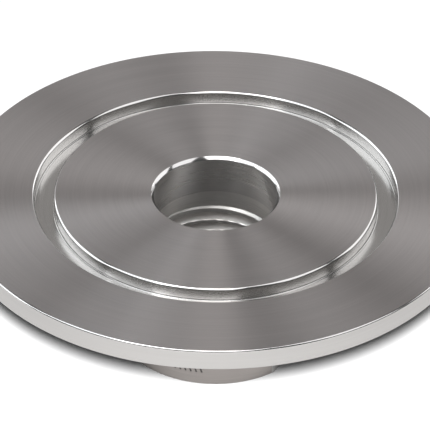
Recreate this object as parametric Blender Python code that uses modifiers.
"""Clamp flange with a threaded port: a turned disc, a threaded socket and the weld between them.

Units are metres and +Z is up. The origin is on the axis, at the end face of the socket, so the
part stands on its socket and its sealing face looks up. The front is -Y.
"""
import bmesh
import bpy
from math import atan2, ceil, cos, hypot, pi, radians, sin, tan

OBJECT_NAME = "blind_flange"

# Turned disc, DN 50 clamp size.
DISC_RADIUS = 0.0375            # outside of the clamping rim
DISC_THICKNESS = 0.0060         # sealing face to the flat rear face
RIM_HEIGHT = 0.0032             # straight part of the rim, with its two rounded edges
RIM_EDGE_RADIUS = 0.0003
CLAMP_ANGLE = radians(15.0)     # slope of the rear clamping cone

# Centring groove in the sealing face.
GROOVE_INNER_RADIUS = 0.0233
GROOVE_OUTER_RADIUS = 0.0261
GROOVE_DEPTH = 0.00205
GROOVE_CORNER_RADIUS = 0.0002
LIP_RADIUS = 0.00045            # rounded edges of the groove and of the bore

# Smooth bore and its taper thread, 14 threads to the inch.
BORE_RADIUS = 0.0089
THREAD_PITCH = 0.0254 / 14.0
THREAD_LENGTH = 0.0154          # from the end face to the point where the groove runs out
THREAD_TAPER = 1.0 / 32.0       # fall of the radius for each metre of depth
THREAD_ROOT_RADIUS = 0.01061    # bottom of the thread groove at the end face
THREAD_CREST_RADIUS = 0.00918   # top of the thread at the end face
THREAD_ROOT_WIDTH = 0.00022
THREAD_CREST_WIDTH = 0.00026
THREAD_HIDDEN = 0.0002          # how far inside the bore the groove's cutter starts
THREAD_RUNOUT_TURNS = 1.0       # the groove rises out of the wall over this many turns
THREAD_END_HEADING = radians(97.5)  # a whole number of the turning steps, so facets line up
MOUTH_CHAMFER = 0.0007          # countersink in front of the first thread

# Welded socket.
SOCKET_RADIUS = 0.01425
SOCKET_EDGE = 0.0003
WELD_PREP = 0.0008              # bevel on the socket's upper edge, under the weld
FLATS_WIDTH = 0.0260            # across the two spanner flats
FLATS_HEIGHT = 0.0100
FLATS_HEADING = radians(-30.0)  # direction that the first flat faces, from +X

WELD_LEG = 0.0026
WELD_CROWN = 0.00035            # how far the bead bulges past a straight fillet

GAP = 0.0003                    # kept between pieces that touch
TOTAL_HEIGHT = 0.0240
REAR_FACE_Z = TOTAL_HEIGHT - DISC_THICKNESS

DISC_STEPS = 96
SOCKET_STEPS = 48
SCREW_MERGE = 0.00001
SHARP_ANGLE = radians(30.0)


def clear_scene():
    for old in list(bpy.data.objects):
        bpy.data.objects.remove(old, do_unlink=True)


def make_collection(name):
    collection = bpy.data.collections.new(name)
    bpy.context.scene.collection.children.link(collection)
    return collection


def make_steel(name, colour, roughness):
    material = bpy.data.materials.new(name)
    material.use_nodes = True
    shader = material.node_tree.nodes["Principled BSDF"]
    shader.inputs["Base Color"].default_value = (*colour, 1.0)
    shader.inputs["Roughness"].default_value = roughness
    shader.inputs["Metallic"].default_value = 1.0
    return material


def arc(centre, radius, start, end, steps):
    """Points of an arc in the (radius, height) plane, both ends included."""
    turn = (end - start) / steps
    return [
        (centre[0] + radius * cos(start + turn * i), centre[1] + radius * sin(start + turn * i))
        for i in range(steps + 1)
    ]


def profile_mesh(name, points, closed=True):
    """An outline of edges in the XZ plane, for a Screw modifier."""
    mesh = bpy.data.meshes.new(name)
    last = len(points) if closed else len(points) - 1
    edges = [(i, (i + 1) % len(points)) for i in range(last)]
    mesh.from_pydata([(r, 0.0, z) for r, z in points], edges, [])
    return mesh


def turned(name, points, steps, collection, material):
    """A ring turned from a closed outline, which runs down its outer side."""
    piece = bpy.data.objects.new(name, profile_mesh(name, points))
    collection.objects.link(piece)
    screw = piece.modifiers.new("Turn", "SCREW")
    screw.axis = "Z"
    screw.angle = 2.0 * pi
    screw.steps = steps
    screw.render_steps = steps
    screw.use_merge_vertices = True
    screw.merge_threshold = SCREW_MERGE
    piece.data.materials.append(material)
    return piece


def applied_copy(source):
    """Replace an object's mesh by its evaluated one and drop the modifiers."""
    depsgraph = bpy.context.evaluated_depsgraph_get()
    mesh = bpy.data.meshes.new_from_object(source.evaluated_get(depsgraph))
    source.modifiers.clear()
    source.data = mesh
    return source


def smooth(piece):
    piece.data.shade_smooth()
    piece.data.set_sharp_from_angle(angle=SHARP_ANGLE)


def hide_cutter(cutter):
    cutter.hide_render = True
    cutter.display_type = "WIRE"


def cut(piece, cutter):
    boolean = piece.modifiers.new("Cut " + cutter.name, "BOOLEAN")
    boolean.operation = "DIFFERENCE"
    boolean.solver = "EXACT"
    boolean.object = cutter


def disc_outline():
    top = TOTAL_HEIGHT
    lip = LIP_RADIUS
    floor = top - GROOVE_DEPTH
    corner = GROOVE_CORNER_RADIUS
    edge = RIM_EDGE_RADIUS
    rim_bottom = top - RIM_HEIGHT
    cone_run = (DISC_THICKNESS - RIM_HEIGHT) / tan(CLAMP_ANGLE)
    points = arc((BORE_RADIUS + lip, top - lip), lip, pi, pi / 2, 3)
    points += arc((GROOVE_INNER_RADIUS - lip, top - lip), lip, pi / 2, 0.0, 3)
    points += arc((GROOVE_INNER_RADIUS + corner, floor + corner), corner, pi, 1.5 * pi, 1)
    points += arc((GROOVE_OUTER_RADIUS - corner, floor + corner), corner, -pi / 2, 0.0, 1)
    points += arc((GROOVE_OUTER_RADIUS + lip, top - lip), lip, pi, pi / 2, 3)
    points += arc((DISC_RADIUS - edge, top - edge), edge, pi / 2, 0.0, 2)
    points += arc((DISC_RADIUS - edge, rim_bottom + edge), edge, 0.0, -pi / 2, 2)
    points += [(DISC_RADIUS - edge - cone_run, REAR_FACE_Z), (BORE_RADIUS, REAR_FACE_Z)]
    return points


def make_disc(collection):
    steel = make_steel("turned_steel", (0.60, 0.58, 0.57), 0.28)
    disc = turned("flange_disc", disc_outline(), DISC_STEPS, collection, steel)
    smooth(disc)
    return disc


def crest_radius(depth):
    """Radius of the socket's wall at a depth from its end face: the crests, or the plain bore."""
    return max(BORE_RADIUS, THREAD_CREST_RADIUS - THREAD_TAPER * depth)


def socket_outline():
    top = REAR_FACE_Z - GAP
    taper_end = (THREAD_CREST_RADIUS - BORE_RADIUS) / THREAD_TAPER
    mouth = THREAD_ROOT_RADIUS + MOUTH_CHAMFER / 2
    mouth_depth = mouth - crest_radius(MOUTH_CHAMFER)
    return [
        (BORE_RADIUS, top),
        (SOCKET_RADIUS - WELD_PREP, top),
        (SOCKET_RADIUS, top - WELD_PREP),
        (SOCKET_RADIUS, SOCKET_EDGE),
        (SOCKET_RADIUS - SOCKET_EDGE, 0.0),
        (mouth, 0.0),
        (crest_radius(mouth_depth), mouth_depth),
        (BORE_RADIUS, taper_end),
    ]


def thread_section():
    """Cross-section of the cut between two crests, pointing outwards, at the end face."""
    inside = BORE_RADIUS - 2.0 * THREAD_HIDDEN
    half_open = (THREAD_PITCH - THREAD_CREST_WIDTH) / 2
    half_root = THREAD_ROOT_WIDTH / 2
    flank_rise = THREAD_ROOT_RADIUS - THREAD_CREST_RADIUS
    slope = (half_open - half_root) / flank_rise
    half_inside = min(half_open + slope * (THREAD_CREST_RADIUS - inside), THREAD_PITCH * 0.49)
    return [
        (inside, half_inside),
        (THREAD_CREST_RADIUS, half_open),
        (THREAD_ROOT_RADIUS, half_root),
        (THREAD_ROOT_RADIUS, -half_root),
        (THREAD_CREST_RADIUS, -half_open),
        (inside, -half_inside),
    ]


def make_thread_cutter(collection):
    """A right-hand coil that starts below the end face and rises out of the wall at its top."""
    turns = int(ceil(THREAD_LENGTH / THREAD_PITCH)) + 1
    section = thread_section()
    cutter = bpy.data.objects.new("thread_coil", profile_mesh("thread_coil", section))
    collection.objects.link(cutter)
    screw = cutter.modifiers.new("Coil", "SCREW")
    screw.axis = "Z"
    screw.angle = 2.0 * pi
    screw.screw_offset = THREAD_PITCH
    screw.iterations = turns
    screw.steps = SOCKET_STEPS
    screw.render_steps = SOCKET_STEPS
    applied_copy(cutter)
    start = THREAD_LENGTH - turns * THREAD_PITCH
    shape = bmesh.new()
    shape.from_mesh(cutter.data)
    bmesh.ops.holes_fill(shape, edges=[edge for edge in shape.edges if edge.is_boundary])
    bmesh.ops.recalc_face_normals(shape, faces=shape.faces)
    for vert in shape.verts:
        taper_and_fade(vert, start, turns)
    shape.to_mesh(cutter.data)
    shape.free()
    cutter.rotation_euler.z = THREAD_END_HEADING
    hide_cutter(cutter)
    return cutter


def taper_and_fade(vert, start, turns):
    """Lower a coil point to its place, and draw it in for the taper and for the run-out."""
    radius = hypot(vert.co.x, vert.co.y)
    around = (atan2(vert.co.y, vert.co.x) / (2.0 * pi)) % 1.0
    lap = round(vert.co.z / THREAD_PITCH - around)
    turns_left = max(0.0, turns - lap - around)
    height = vert.co.z + start
    drawn = radius - THREAD_TAPER * height
    if turns_left < THREAD_RUNOUT_TURNS and radius > THREAD_CREST_RADIUS * 0.99:
        hidden = BORE_RADIUS - THREAD_HIDDEN
        drawn = hidden + (drawn - hidden) * turns_left / THREAD_RUNOUT_TURNS
    vert.co.x *= drawn / radius
    vert.co.y *= drawn / radius
    vert.co.z = height


def make_flat_cutter(name, heading, collection):
    """A block whose inner side is one spanner flat."""
    size = SOCKET_RADIUS
    bpy.ops.mesh.primitive_cube_add(size=1.0)
    block = bpy.context.object
    block.name = name
    reach = FLATS_WIDTH / 2 + size / 2
    block.location = (reach * cos(heading), reach * sin(heading), 0.0)
    block.rotation_euler = (0.0, 0.0, heading)
    block.scale = (size, size * 2.0, FLATS_HEIGHT * 2.0)
    for old in list(block.users_collection):
        old.objects.unlink(block)
    collection.objects.link(block)
    hide_cutter(block)
    return block


def make_socket(collection, cutters):
    steel = make_steel("satin_steel", (0.52, 0.50, 0.49), 0.42)
    socket = turned("threaded_socket", socket_outline(), SOCKET_STEPS, collection, steel)
    cut(socket, make_thread_cutter(cutters))
    cut(socket, make_flat_cutter("flat_right", FLATS_HEADING, cutters))
    cut(socket, make_flat_cutter("flat_left", FLATS_HEADING + pi, cutters))
    smooth(socket)
    return socket


def make_weld(collection):
    """A fillet bead in the corner between the socket and the disc's rear face."""
    inner = SOCKET_RADIUS + GAP
    top = REAR_FACE_Z - GAP
    steps = 4
    points = [(inner, top)]
    for i in range(steps + 1):
        share = i / steps
        bulge = WELD_CROWN * 4.0 * share * (1.0 - share)
        across = WELD_LEG * (1.0 - share) + bulge * cos(pi / 4)
        down = WELD_LEG * share + bulge * sin(pi / 4)
        points.append((inner + across, top - down))
    steel = make_steel("weld_steel", (0.50, 0.47, 0.44), 0.36)
    weld = turned("weld_bead", points, SOCKET_STEPS, collection, steel)
    smooth(weld)
    return weld


def main():
    clear_scene()
    pieces = make_collection(OBJECT_NAME)
    cutters = make_collection("cutters")
    make_disc(pieces)
    make_socket(pieces, cutters)
    make_weld(pieces)


main()
